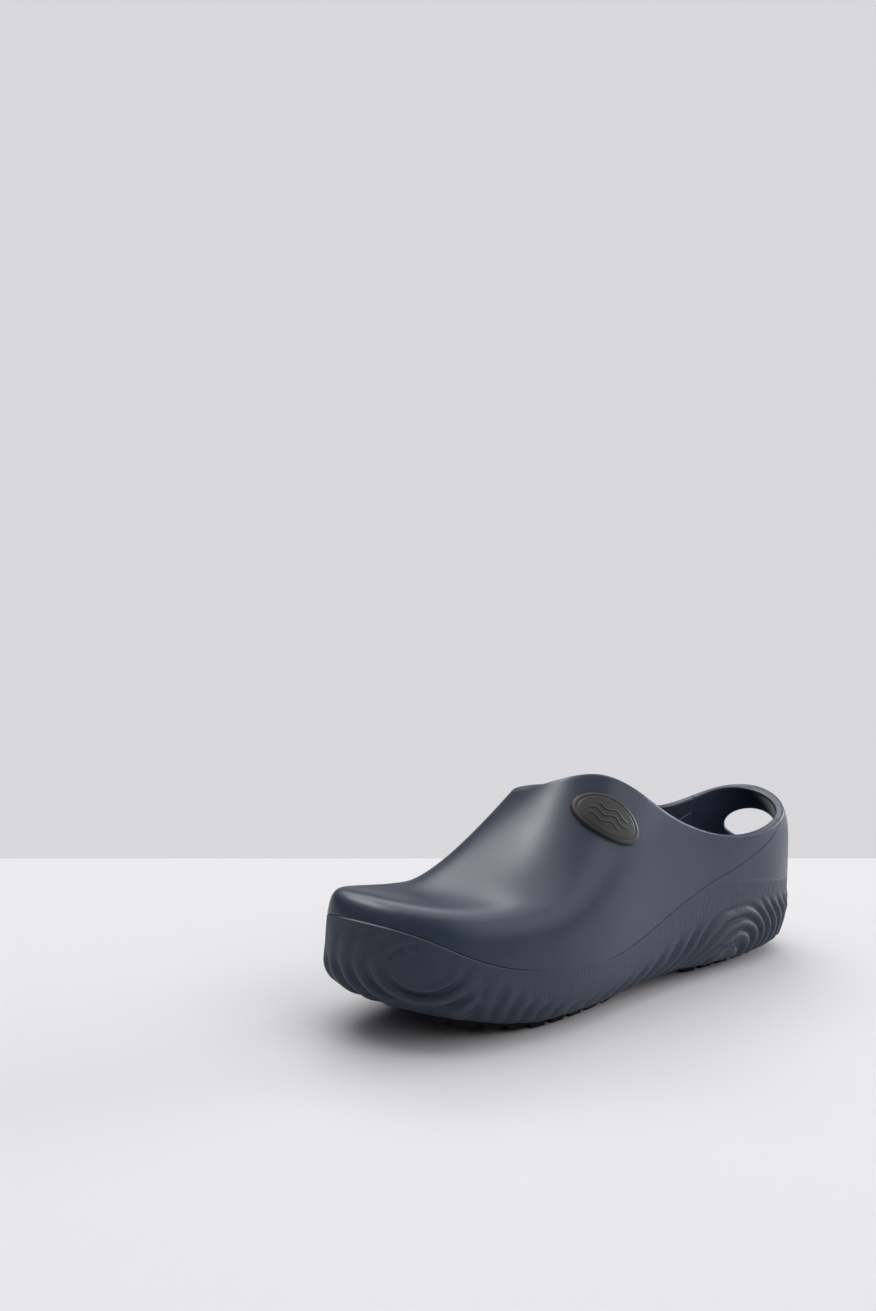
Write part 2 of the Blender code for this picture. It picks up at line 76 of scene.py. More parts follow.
# How far rows 4, 5 and 6 go from the sidewall's middle to the rim, in plan and in height.
# Each is a mean and its cos a, sin a, cos 2a and sin 2a terms, with a = 0 at the toe tip.
ROW_LEAN = [
    (0.02, 0.02, 0.01, 0.00, 0.02), (0.13, 0.06, 0.01, 0.00, 0.00), (0.45, 0.12, 0.03, 0.06, 0.03),
]
ROW_CLIMB = [
    (0.35, 0.035, -0.03, 0.09, -0.06), (0.46, -0.15, 0.01, 0.05, 0.00),
    (0.63, -0.34, 0.00, -0.10, 0.02),
]

# The line where the upper meets the sole, u then v. It ends at the rim on both sides of the heel.
UPPER_END = 7.6
PARTING_LINE = [
    (-7.6, 4.80), (-6.6, 4.10), (-5.8, 3.50), (-4.8, 2.50), (-3.9, 1.95), (-3.0, 1.95),
    (-2.0, 2.20), (-1.0, 2.46), (0.0, 2.59), (1.2, 2.64), (2.5, 2.34), (3.5, 2.20), (4.4, 2.05),
    (5.2, 2.50), (5.8, 3.00), (6.4, 3.55), (6.9, 3.95), (7.3, 4.40), (7.6, 4.80),
]

WALL = 0.0045
FIT_GAP = 0.0003
RIM_ROUND = 0.0013
LAP = 0.0055
TONGUE_DEPTH = 0.0024
END_CLEAR_U = 0.004

# The parting line is a fine groove, all but closed along part of the outer side. Under it, round the
# outer front corner, the sole has a slightly proud lip.
LINE_ROUND = 0.0004
LINE_GAP = 0.00015
LINE_CLOSING_U = (2.7, 3.2)
LINE_OPENING_U = (3.9, 4.4)
LINE_CLOSED_BY = 0.9
LIP_PROUD = 0.0005
LIP_HEIGHT = 0.006
LIP_ROUND = 0.0009
LIP_RISING_U = (-1.2, -0.3)
LIP_FALLING_U = (1.6, 3.2)

# Heights along the clog, y then z: the seat inside, and the sole's underside.
SEAT_HEIGHT = [
    (-0.135, 0.0300), (-0.105, 0.0245), (-0.080, 0.0208), (-0.055, 0.0187), (-0.030, 0.0180),
    (0.000, 0.0192), (0.030, 0.0222), (0.045, 0.0250), (0.055, 0.0265), (0.065, 0.0270),
    (0.140, 0.0270),
]
UNDERSIDE = [
    (-0.137, 0.0195), (-0.108, 0.0130), (-0.080, 0.0065), (-0.060, 0.0034), (-0.010, 0.0034),
    (0.010, 0.0060), (0.038, 0.0060), (0.055, 0.0034), (0.105, 0.0034), (0.140, 0.0085),
]
UNDERSIDE_INSET = 0.009
UNDERSIDE_ROW = 0.5
EDGE_BULGE = 0.0012

# How finely the meshes are divided.
NORMAL_STEP = 0.001
CLIMB_STEPS = 240
SEAT_ROWS = (0.1, 3.0, 80)
ROW_CROWDING = 1.3
RIM_CORNER = 6
LIP_CORNER = 5
LINE_CORNER = 4
UPPER_COLUMNS = 520
UPPER_OUTER_ROWS = 84
UPPER_INNER_ROWS = 26
SOLE_FRONT_COLUMNS = 621
SOLE_REAR_COLUMNS = 130
EDGE_ROWS = 7
RELIEF_ROWS = 46
SMOOTH_ROWS = 20
LIP_ROWS = 10
FLOOR_ROWS = 6
RELIEF_TOP = 0.036
RELIEF_SHARE = 0.7

HOLE_CENTRE = (-0.0025, 0.0582)
HOLE_HALF_WIDTH = 0.0197
HOLE_HALF_HEIGHT = 0.0095
HOLE_ROUND = 0.0012
HOLE_MARGIN = 0.0035
HOLE_RINGS = 6
HOLE_SEARCH = (8.0, 10.0, 401)
HOLE_WIDTH_STEPS = 10


def smooth_curve(points, at):
    """Height of a cubic curve through (x, y) points, with no corner at any of them."""
    xs, ys = np.array(points).T
    slopes = np.gradient(ys, xs)
    left = np.clip(np.searchsorted(xs, at) - 1, 0, len(xs) - 2)
    span = xs[left + 1] - xs[left]
    t = np.clip((at - xs[left]) / span, 0.0, 1.0)
    start = (1 + 2 * t) * (1 - t) ** 2 * ys[left] + t * (1 - t) ** 2 * span * slopes[left]
    end = t**2 * (3 - 2 * t) * ys[left + 1] - t**2 * (1 - t) * span * slopes[left + 1]
    return start + end


def along(points, y):
    """Straight-line reading of a (y, z) table."""
    ys, zs = np.array(points).T
    return np.interp(y, ys, zs)


def control_grid():
    """The skin's control points, by column and row."""
    outline = np.array(OUTLINE)
    rim = np.array(RIM)
    edge = along(EDGE_HEIGHT, outline[:, 1])
    middle = along(MIDDLE_HEIGHT, outline[:, 1])
    inward = outline.mean(axis=0) - outline
    inward /= np.linalg.norm(inward, axis=1, keepdims=True)
    rows = [
        (outline + EDGE_TUCK * inward, edge),
        (outline + SHOULDER_TUCK * inward, edge + SHOULDER_RISE * (middle - edge)),
        (outline, edge + BULGE_RISE * (middle - edge)),
        (outline, middle),
    ]
    a = 2 * np.pi * np.arange(COLUMNS) / COLUMNS
    terms = np.array([np.ones(COLUMNS), np.cos(a), np.sin(a), np.cos(2 * a), np.sin(2 * a)])
    for lean, rise in zip(ROW_LEAN, ROW_CLIMB):
        plan = outline + (rim[:, :2] - outline) * (lean @ terms)[:, None]
        rows.append((plan, middle + (rim[:, 2] - middle) * (rise @ terms)))
    rows.append((rim[:, :2], rim[:, 2]))
    return np.stack([np.column_stack(row) for row in rows], axis=1)


def column_weights(u):
    """Weights of a cubic spline that closes on itself round the columns."""
    first = np.floor(u).astype(int)
    t = u - first
    cubic = [(1 - t) ** 3, 3 * t**3 - 6 * t**2 + 4, -3 * t**3 + 3 * t**2 + 3 * t + 1, t**3]
    weights = np.zeros((len(u), COLUMNS))
    for k, value in enumerate(cubic):
        weights[np.arange(len(u)), (first - 1 + k) % COLUMNS] += value / 6
    return weights


def row_weights(v):
    """Weights of a cubic spline that starts on the first row and ends on the last."""
    knots = np.concatenate([np.zeros(3), np.arange(TOP_ROW + 1), np.full(3, TOP_ROW)])
    v = np.clip(v, 0.0, TOP_ROW - 1e-9)[:, None]
    weights = ((v >= knots[:-1]) & (v < knots[1:])).astype(float)
    for degree in range(1, 4):
        low, high = knots[: -degree - 1], knots[degree + 1 :]
        rise = knots[degree:-1] - low
        fall = high - knots[1:-degree]
        up = np.divide(v - low, rise, out=np.zeros_like(v - low), where=rise > 0)
        down = np.divide(high - v, fall, out=np.zeros_like(high - v), where=fall > 0)
        weights = up * weights[:, :-1] + down * weights[:, 1:]
    return weights


CONTROL = control_grid()


def on_skin(u, v):
    """Points of the skin, for matching arrays of u and v."""
    u, v = np.broadcast_arrays(np.asarray(u, float), np.asarray(v, float))
    flat = np.einsum("pi,pj,ijk->pk", column_weights(u.ravel()), row_weights(v.ravel()), CONTROL)
    return flat.reshape(u.shape + (3,))


def outward(u, v):
    """Unit normals of the skin, pointing away from the foot."""
    across = on_skin(u + NORMAL_STEP, v) - on_skin(u - NORMAL_STEP, v)
    above = on_skin(u, np.minimum(v + NORMAL_STEP, TOP_ROW))
    below = on_skin(u, np.maximum(v - NORMAL_STEP, 0.0))
    normal = np.cross(across, above - below)
    return normal / np.linalg.norm(normal, axis=-1, keepdims=True)


def under_skin(u, v, depth):
    """Points at a depth below the skin."""
    u, v, depth = np.broadcast_arrays(np.asarray(u, float), np.asarray(v, float), depth)
    return on_skin(u, v) - depth[..., None] * outward(u, v)


def climb(u):
    """Row coordinates, and the length climbed to each, up every column of the skin."""
    rows = np.linspace(0.0, TOP_ROW, CLIMB_STEPS)
    points = np.einsum("pi,qj,ijk->pqk", column_weights(u), row_weights(rows), CONTROL)
    steps = np.linalg.norm(np.diff(points, axis=1), axis=2)
    return rows, np.concatenate([np.zeros((len(u), 1)), np.cumsum(steps, axis=1)], axis=1)


def by_column(at, known, values):
    """np.interp down each column; either known or values may be the same for all."""
    known = np.broadcast_to(known, (len(at),) + known.shape[-1:])
    values = np.broadcast_to(values, (len(at),) + values.shape[-1:])
    return np.array([np.interp(a, k, v) for a, k, v in zip(at, known, values)])


def lay(u, length, depth):
    """Points at a length climbed and a depth, for arrays by column and row."""
    rows, lengths = climb(u)
    v = by_column(length, lengths, rows)
    return under_skin(u[:, None], v, depth)


def from_toe(u):
    """u counted from the toe tip, positive on the outer side and negative on the inner side."""
    return np.where(u > COLUMNS / 2, u - COLUMNS, u)


def parting(u):
    """Length climbed to the upper's lower edge, and to the rim, for each column."""
    rows, lengths = climb(u)
    v = smooth_curve(PARTING_LINE, from_toe(u))
    return by_column(v[:, None], rows, lengths)[:, 0], lengths[:, -1]


def seat_rows(u):
    """Row where the inside of the wall meets the top of the sole, for each column."""
    rows = np.linspace(*SEAT_ROWS)
    wall = under_skin(u[:, None], rows[None, :], WALL)
    above = wall[..., 2] - along(SEAT_HEIGHT, wall[..., 1])
    return np.array([np.interp(0.0, heights, rows) for heights in above])


def ramp(low, high, x):
    """Smooth step from 0 at low to 1 at high."""
    t = np.clip((x - low) / (high - low), 0.0, 1.0)
    return t * t * (3 - 2 * t)


def bell(x, width):
    """1 at zero, falling off smoothly either side."""
    return np.exp(-((x / width) ** 2))


def steps_past(start, end, count):
    """Even steps from just past a start to an end, for each column."""
    return start[:, None] + (end - start)[:, None] * np.linspace(0, 1, count + 1)[1:]


def add_mesh(name, points, faces):
    """A smooth-shaded object whose faces point out."""
    mesh = bpy.data.meshes.new(name)
    mesh.from_pydata(np.asarray(points).tolist(), [], faces)
    bm = bmesh.new()
    bm.from_mesh(mesh)
    bmesh.ops.recalc_face_normals(bm, faces=bm.faces)
    bm.to_mesh(mesh)
    bm.free()
    mesh.shade_smooth()
    made = bpy.data.objects.new(name, mesh)
    bpy.context.scene.collection.objects.link(made)
    return made


def grid_faces(columns, rows, wrap_columns=False, wrap_rows=False):
    """Quads of a grid numbered column by column, as a dictionary by (column, row)."""
    faces = {}
    for i in range(columns if wrap_columns else columns - 1):
        for j in range(rows if wrap_rows else rows - 1):
            k, m = (i + 1) % columns, (j + 1) % rows
            faces[i, j] = (i * rows + j, k * rows + j, k * rows + m, i * rows + m)
    return faces


def strip_faces(ring, toe):
    """Faces straight across the foot that close a ring, from the toe to the heel."""
    count = len(ring)
    faces = []
    for j in range(count // 2):
        corners = [ring[toe + j], ring[(toe + j + 1) % count], ring[toe - j - 1], ring[toe - j]]
        faces.append(tuple(corners[:3] if j == 0 else corners))
    return faces


def end_caps(count, rows, toe):
    """Faces that close the first and the last row of a grid that goes all the way round."""
    first = [i * rows for i in range(count)]
    last = [i * rows + rows - 1 for i in range(count)]
    return strip_faces(first, toe) + strip_faces(last, toe)


def corner(count):
    """Sines and cosines round a quarter turn, in pairs."""
    t = np.linspace(0, np.pi / 2, count)
    return list(zip(np.sin(t), np.cos(t)))


def rounded_rim(top, radius):
    """Length and depth over a wall's top edge, from its outside to its inside."""
    turn = corner(RIM_CORNER)
    over = [(top - radius + radius * s, np.full_like(top, radius - radius * c)) for s, c in turn]
    down = [(top - radius + radius * c, np.full_like(top, WALL - radius + radius * s)) for s, c in turn]
    return over + down


def line_width(u):
    """How open the parting line is, from nearly 0 to 1."""
    return 1 - LINE_CLOSED_BY * ramp(*LINE_CLOSING_U, u) * (1 - ramp(*LINE_OPENING_U, u))


def upper_mesh():
    """The vamp and quarters: outside, rolled rim, lining side, and the tongue that laps into the sole."""
    u = np.linspace(-UPPER_END, UPPER_END, UPPER_COLUMNS)
    line, top = parting(u)
    tip = line - LAP
    line_round = LINE_ROUND * line_width(u)
    start = line + line_round
    route = [(start - line_round * c, line_round - line_round * s) for s, c in corner(LINE_CORNER)]
    for t in np.linspace(0, 1, UPPER_OUTER_ROWS)[1:-1] ** ROW_CROWDING:
        route.append((start + (top - RIM_ROUND - start) * t, np.zeros_like(u)))
    route += rounded_rim(top, RIM_ROUND)
    for t in np.linspace(1.0, 0.0, UPPER_INNER_ROWS)[1:] ** ROW_CROWDING:
        route.append((tip + (top - RIM_ROUND - tip) * t, np.full_like(u, WALL)))
    route += [(tip, np.full_like(u, TONGUE_DEPTH)), (line, np.full_like(u, TONGUE_DEPTH))]
    length = np.stack([a for a, _ in route], axis=1)
    depth = np.stack([b for _, b in route], axis=1)
    points = lay(u, length, depth)
    rows = len(route)
    faces = list(grid_faces(len(u), rows, wrap_rows=True).values())
    faces += [tuple(range(rows)), tuple(range((len(u) - 1) * rows, len(u) * rows))]
    return add_mesh("upper_skin", points.reshape(-1, 3), faces)


# The sidewall's moulded pattern. Its places are distances round the sidewall from the toe tip, positive
# on the outer side, and heights.
SIDE_STEPS = 1441
SIDE_ROW = 1.5
RIDGE_FULLNESS = 1.6

# Toe: arcs round a swirl on the outer side, and upright flutes round the front.
TOE_RELIEF = 0.0019
TOE_SWIRL = (0.0397, 0.0387)
SWIRL_STRETCH = 1.6
SWIRL_PITCH = 0.0065
SWIRL_START = -0.27
SWIRL_HEART = (0.0055, 0.0105)
FLUTE_SQUASH = 0.72
FLUTES_BEND = (-0.032, -0.004)
TOE_FADE_HEIGHT = (0.022, 0.040)
TOE_FADE_SHARE = (-0.030, 0.010, 0.25)
TOE_OUTER_END = (0.052, 0.070)
TOE_INNER_END = (-0.095, -0.075)
TOE_DEPTH_AT = 0.010
TOE_DEPTH_BELOW = 1.25
TOE_DEPTH_LOSS = 10
TOE_DEPTH_REACH = 0.03

# Sides and heel: slanted waves that rise to a swirl over the heel and fall behind it.
SIDE_RELIEF = 0.0011
SIDE_SAMPLES = np.linspace(0.0, 0.34, 1200)
SIDE_START = (0.056, 0.072)
SIDE_END = (0.296, 0.312)
INNER_SIDE_START = (0.080, 0.100)
HEEL_SWIRL = (0.245, 0.012)
HEEL_SWIRL_HEART = (0.002, 0.008)
HEEL_FALL_FRONT = 19.0
HEEL_FALL_BACK = 32.0
STEEPEST_FRONT = 1.35
STEEPEST_BACK = 1.15
FOREFOOT_EASING = 0.25
FOREFOOT_EASED = (0.110, 0.160)
WAVE_PITCH = [(0.100, 0.0115), (0.135, 0.0145), (0.195, 0.0145), (0.240, 0.0064), (0.290, 0.0076)]
WAVE_LEVEL = 0.020
WAVE_BEND = 16.0
BEND_FRONT_FROM = 0.010
BEND_REAR_BELOW = 0.026
BEND_FRONT_UNTIL = (0.170, 0.215)
BEND_REAR_AFTER = (0.250, 0.285)
EDGE_SWEEP = 0.010
EDGE_SWEEP_FROM = 0.006
EDGE_SWEEP_HEIGHT = 0.014
WAVE_TOP = [
    (0.060, 0.030), (0.080, 0.025), (0.100, 0.014), (0.120, 0.009), (0.140, 0.009), (0.165, 0.013),
    (0.200, 0.022), (0.235, 0.031), (0.300, 0.026),
]
WAVE_TOP_SOFTENS = (-0.004, 0.007)
WAVE_SHARE = [(0.060, 0.85), (0.150, 0.80), (0.180, 1.00)]
LINE_MARGIN = (0.002, 0.008)

# Inner arch: a band of fine upright ribs under the parting line, above a groove.
ARCH_BAND = (-0.185, -0.085)
ARCH_BAND_ENDS = 0.012
ARCH_GROOVE = 0.0135
ARCH_GROOVE_DEPTH = 0.0006
ARCH_GROOVE_WIDTH = 0.0007
RIB_PITCH = 0.0026
RIB_HEIGHT = 0.0003
RIB_TOP = (0.0025, 0.0040)
RIB_FOOT = (0.0035, 0.0020)

# The sidewall is grained all over at the front and sides, and below this line round the heel.
GRAIN_LINE = [(0.2225, 0.0486), (0.255, 0.0443), (0.280, 0.0394), (0.320, 0.0365)]
GRAIN_EVERYWHERE = 1.0
GRAIN_BORDER = 0.0004


def ridge(phase):
    """Rounded ridges with narrower grooves, from -1 to 1."""
    wave = np.cos(2 * np.pi * phase)
    return 1 - 2 * (0.5 - 0.5 * wave) ** RIDGE_FULLNESS


def side_distance(u):
    """Distance round the sidewall from the toe tip, positive on the outer side."""
    fine = np.linspace(0.0, COLUMNS, SIDE_STEPS)
    plan = on_skin(fine, np.full_like(fine, SIDE_ROW))[:, :2]
    total = np.concatenate([[0.0], np.cumsum(np.linalg.norm(np.diff(plan, axis=0), axis=1))])
    along_side = np.interp(u % COLUMNS, fine, total)
    return np.where(u % COLUMNS > COLUMNS / 2, along_side - total[-1], along_side)


def toe_waves(distance, height):
    """Arcs round a swirl on the outer side, which straighten into upright flutes round the toe."""
    swirl_distance, swirl_height = TOE_SWIRL
    upright = FLUTE_SQUASH * (1 - ramp(*FLUTES_BEND, distance))
    reach = np.hypot((distance - swirl_distance) / SWIRL_STRETCH, (height - swirl_height) * (1 - upright))
    fade_from, fade_to, fade_share = TOE_FADE_SHARE
    strength = ramp(*SWIRL_HEART, reach)
    strength *= 1 - ramp(*TOE_FADE_HEIGHT, height) * (1 - fade_share * ramp(fade_from, fade_to, distance))
    strength *= 1 - ramp(*TOE_OUTER_END, distance)
    strength *= ramp(*TOE_INNER_END, distance)
    deeper = TOE_DEPTH_BELOW - TOE_DEPTH_LOSS * np.clip(height - TOE_DEPTH_AT, 0, TOE_DEPTH_REACH)
    return ridge(reach / SWIRL_PITCH + SWIRL_START) * strength * deeper


def wave_slopes():
    """Slope of the side waves at each of the sampled distances."""
    ahead = SIDE_SAMPLES - HEEL_SWIRL[0]
    slope = np.where(ahead < 0, -2 * HEEL_FALL_FRONT * ahead, -2 * HEEL_FALL_BACK * ahead)
    slope = np.clip(slope, -STEEPEST_BACK, STEEPEST_FRONT)
    return slope - FOREFOOT_EASING * (1 - ramp(*FOREFOOT_EASED, SIDE_SAMPLES))


def side_phase(side, height):
    """Phase of the side waves, with a crest over the swirl."""
    pitch = along(WAVE_PITCH, SIDE_SAMPLES)
    shift = np.concatenate([[0.0], np.cumsum((wave_slopes() / pitch)[1:] * np.diff(SIDE_SAMPLES))])
    ahead_bend = (1 - ramp(*BEND_FRONT_UNTIL, side)) * np.clip(height - BEND_FRONT_FROM, 0, None) ** 2
    rear_bend = ramp(*BEND_REAR_AFTER, side) * np.clip(BEND_REAR_BELOW - height, 0, None) ** 2
    bent = height + WAVE_BEND * (rear_bend - ahead_bend)
    phase = (bent - WAVE_LEVEL) / np.interp(side, SIDE_SAMPLES, pitch) - np.interp(side, SIDE_SAMPLES, shift)
    return phase + 0.5 - np.interp(HEEL_SWIRL[0], SIDE_SAMPLES, -shift) % 1


def side_waves(side, height):
    """Slanted waves along the foot that sweep up and over the heel."""
    side = side + EDGE_SWEEP * np.clip(1 - (height - EDGE_SWEEP_FROM) / EDGE_SWEEP_HEIGHT, 0, 1) ** 2
    limit = along(WAVE_TOP, side)
    full_to, gone_by = WAVE_TOP_SOFTENS
    strength = (1 - ramp(limit + full_to, limit + gone_by, height)) * ramp(*SIDE_START, side)
    strength *= along(WAVE_SHARE, side)
    strength *= 1 - ramp(*SIDE_END, side)
    strength *= ramp(*HEEL_SWIRL_HEART, np.hypot(side - HEEL_SWIRL[0], height - HEEL_SWIRL[1]))
    return ridge(side_phase(side, height)) * strength


def arch_band(distance, below_line):
    """A band of fine upright ribs under the line through the inner arch, with a groove below it."""
    start, end = ARCH_BAND
    inside = ramp(start, start + ARCH_BAND_ENDS, distance) * (1 - ramp(end - ARCH_BAND_ENDS, end, distance))
    foot_from, foot_to = (ARCH_GROOVE - rise for rise in RIB_FOOT)
    ribs = RIB_HEIGHT * ridge(distance / RIB_PITCH)
    ribs *= ramp(*RIB_TOP, below_line) * (1 - ramp(foot_from, foot_to, below_line))
    groove = -ARCH_GROOVE_DEPTH * bell(below_line - ARCH_GROOVE, ARCH_GROOVE_WIDTH)
    return inside * (ribs + groove)


def relief(distance, height, below_line):
    """How far the sidewall's pattern stands proud, for a place on it and a length under the line."""
    side = np.abs(distance)
    side_share = np.where(distance > 0, 1.0, ramp(*INNER_SIDE_START, side))
    waves = TOE_RELIEF * toe_waves(distance, height) + SIDE_RELIEF * side_waves(side, height) * side_share
    return ramp(*LINE_MARGIN, below_line) * waves + arch_band(distance, below_line)


def sole_columns():
    """All the way round: the front, a step just past the upper's end, the heel and the step back."""
    step = UPPER_END + END_CLEAR_U
    first = UPPER_END + 2 * END_CLEAR_U
    front = np.linspace(-UPPER_END, UPPER_END, SOLE_FRONT_COLUMNS)
    rear = np.linspace(first, COLUMNS - first, SOLE_REAR_COLUMNS)
    return np.concatenate([front, [step], rear, [COLUMNS - step]])


def is_rear(u):
    """True for the columns behind the upper's ends, where the sole's wall goes up to the rim."""
    past = UPPER_END + 1.5 * END_CLEAR_U
    return (u > past) & (u < COLUMNS - past)


def lip_share(u):
    """How much of the proud lip each column has."""
    place = from_toe(u)
    return ramp(*LIP_RISING_U, place) * (1 - ramp(*LIP_FALLING_U, place))


def lip_radius(u):
    """Radius of the sole's top edge along the parting line."""
    return LINE_ROUND * line_width(u) + (LIP_ROUND - LINE_ROUND) * lip_share(u)


def relief_height(top):
    """Length climbed to the top of the finely divided rows."""
    return np.minimum(RELIEF_SHARE * top, RELIEF_TOP)


def sidewall_lengths(top, round_by):
    """Length climbed to each row of the sidewall's outside."""
    relief_top = relief_height(top)
    low = relief_top[:, None] * np.linspace(0, 1, RELIEF_ROWS)
    return np.concatenate([low, steps_past(relief_top, top - round_by, SMOOTH_ROWS)], axis=1)


def lip_proud(u, top, outer):
    """Length under the parting line, and how far the lip stands proud, at each row of the sidewall."""
    rear = is_rear(u)[:, None]
    under_line = np.where(rear, 1.0, top[:, None] - outer)
    lip = LIP_PROUD * lip_share(u)[:, None] * ramp(LIP_HEIGHT, 0.0, under_line)
    return under_line, np.where(rear, 0.0, lip)


def front_edge(u, line, top, proud):
    """Length and depth over the lip and down to the ledge, which together hold the upper's tongue."""
    radius = lip_radius(u)
    depth = TONGUE_DEPTH - FIT_GAP
    ledge = line - LAP - FIT_GAP
    route = [(top - radius + radius * s, radius - proud - radius * c) for s, c in corner(LIP_CORNER)[1:]]
    steps = [(top, 0.5 * depth), (top, depth), (0.5 * (top + ledge), depth), (ledge, depth)]
    steps += [(ledge, 0.5 * (depth + WALL)), (ledge, WALL)]
    return route + [(length, np.full_like(u, level)) for length, level in steps]


def sole_inside(u, line, rim_top, top, outer, proud):
    """Points over the sole's top edge and down the inside of its wall to the seat."""
    rear = is_rear(u)
    routes = list(zip(front_edge(u, line, top, proud), rounded_rim(rim_top, RIM_ROUND)[1:-1]))
    edge_length = np.stack([np.where(rear, back[0], front[0]) for front, back in routes], axis=1)
    edge_depth = np.stack([np.where(rear, back[1], front[1]) for front, back in routes], axis=1)
    v = seat_rows(u)
    rows, lengths = climb(u)
    seat = by_column(v[:, None], rows, lengths)[:, 0]
    front_inner = steps_past(line - LAP - FIT_GAP, seat, SMOOTH_ROWS + FLOOR_ROWS + 1)
    rear_high = outer[:, RELIEF_ROWS - 1:][:, ::-1]
    rear_inner = np.concatenate([rear_high, steps_past(relief_height(top), seat, FLOOR_ROWS)], axis=1)
    inner = np.where(rear[:, None], rear_inner, front_inner)
    length = np.concatenate([edge_length, inner], axis=1)
    depth = np.concatenate([edge_depth, np.full_like(inner, WALL)], axis=1)
    return lay(u, length, depth)


def rounded_under(u, edge):
    """Rows from the underside's border out to the sidewall's lower edge, bulging a little downwards."""
    out = outward(u, np.full_like(u, UNDERSIDE_ROW)) * [1, 1, 0]
    out /= np.linalg.norm(out, axis=-1, keepdims=True)
    under = on_skin(u, np.zeros_like(u)) - UNDERSIDE_INSET * out
    under[:, 2] = along(UNDERSIDE, under[:, 1])
    rows = []
    for t in np.linspace(0, 1, EDGE_ROWS + 1)[:-1]:
        between = under + (edge - under) * t
        between[:, 2] -= EDGE_BULGE * np.sin(np.pi * t)
        rows.append(between)
    return np.stack(rows, axis=1)


def mark_grain(made, distance, height, rows):
    """Marks where the sole is grained, for its material."""
    grain = np.zeros((len(height), rows))
    grain[:, :EDGE_ROWS] = 1.0
    limit = along(GRAIN_LINE, np.abs(distance))
    limit = np.where(np.abs(distance) < GRAIN_LINE[0][0], GRAIN_EVERYWHERE, limit)
    smooth = ramp(limit - GRAIN_BORDER, limit + GRAIN_BORDER, height)
    grain[:, EDGE_ROWS:EDGE_ROWS + height.shape[1]] = 1 - smooth
    values = np.zeros(len(made.data.vertices))
    values[:grain.size] = grain.ravel()
    made.data.attributes.new("grain", "FLOAT", "POINT").data.foreach_set("value", values)


def sole_mesh():
    """The sole: relief on its sidewall, a lip or a rolled rim above, the seat, and the heel hole."""
    u = sole_columns()
    line, rim_top = parting(u)
    top = np.where(is_rear(u), rim_top, line - LINE_GAP * line_width(u))
    outer = sidewall_lengths(top, np.where(is_rear(u), RIM_ROUND, lip_radius(u)))
    height = lay(u, outer, np.zeros_like(outer))[..., 2]
    distance = np.broadcast_to(side_distance(u)[:, None], outer.shape)
    under_line, lip = lip_proud(u, top, outer)
    outside = lay(u, outer, -(relief(distance, height, under_line) + lip))
    inside = sole_inside(u, line, rim_top, top, outer, lip[:, -1])
    sheet = np.concatenate([rounded_under(u, outside[:, 0]), outside, inside], axis=1)
    count, rows = sheet.shape[:2]
    faces = grid_faces(count, rows, wrap_columns=True)
    points = list(sheet.reshape(-1, 3))
    hole_faces = cut_heel_hole(u, outer, faces, points, rows)
    shell = list(faces.values()) + hole_faces + end_caps(count, rows, SOLE_FRONT_COLUMNS // 2)
    made = add_mesh("sole_skin", np.array(points), shell)
    mark_grain(made, distance, height, rows)
    return made


def hole_place():
    """The heel hole's middle on the skin: its u, the length climbed to it, and the width of one u there."""
    fine = np.linspace(*HOLE_SEARCH)
    rows, lengths = climb(fine)
    grid = on_skin(fine[:, None], rows[None, :])
    centre_x, centre_z = HOLE_CENTRE
    away = np.hypot(grid[..., 0] - centre_x, grid[..., 2] - centre_z)
    i, j = np.unravel_index(away.argmin(), away.shape)
    near = i - HOLE_WIDTH_STEPS
    far = min(i + HOLE_WIDTH_STEPS, len(fine) - 1)
    width = abs(grid[far, j, 0] - grid[near, j, 0]) / (fine[far] - fine[near])
    return fine[i], lengths[i, j], width


def hole_window(u, outer, centre_u, centre_length, reach_u):
    """The block of the sidewall's smooth rows that the hole is cut from: its columns, then its rows."""
    columns = np.where(np.abs(u - centre_u) < reach_u)[0]
    middle = outer[columns[len(columns) // 2], RELIEF_ROWS - 1:]
    reach = HOLE_HALF_HEIGHT + HOLE_MARGIN
    rows = np.where(np.abs(middle - centre_length) < reach)[0]
    return columns[0] - 1, columns[-1] + 1, max(rows[0] - 1, 0), rows[-1] + 1


def window_border(left, right, bottom, top):
    """Places round the window's edge, in order."""
    border = [(i, bottom) for i in range(left, right)]
    border += [(right, j) for j in range(bottom, top)]
    border += [(i, top) for i in range(right, left, -1)]
    return border + [(left, j) for j in range(top, bottom, -1)]


def hole_route(border_u, border_length, centre_u, centre_length, width):
    """Place and depth of each loop from the window's edge, through the hole and back to it inside."""
    half_u = HOLE_HALF_WIDTH / width
    rise = (border_length - centre_length) / HOLE_HALF_HEIGHT
    angle = np.arctan2(rise, (border_u - centre_u) / half_u)

    def oval(grow, depth):
        oval_u = centre_u + (half_u + grow / width) * np.cos(angle)
        return oval_u, centre_length + (HOLE_HALF_HEIGHT + grow) * np.sin(angle), depth

    oval_u, oval_length, _ = oval(HOLE_ROUND, 0.0)
    flat = []
    for t in np.linspace(0, 1, HOLE_RINGS + 1)[1:]:
        flat.append((border_u + (oval_u - border_u) * t, border_length + (oval_length - border_length) * t))
    edge = [(HOLE_ROUND * (1 - s), HOLE_ROUND * (1 - c)) for s, c in corner(LIP_CORNER)]
    route = [(*place, 0.0) for place in flat]
    route += [oval(grow, depth) for grow, depth in edge[1:]]
    route += [oval(depth, WALL - grow) for grow, depth in edge[:-1]]
    return route + [(*place, WALL) for place in flat[::-1]]


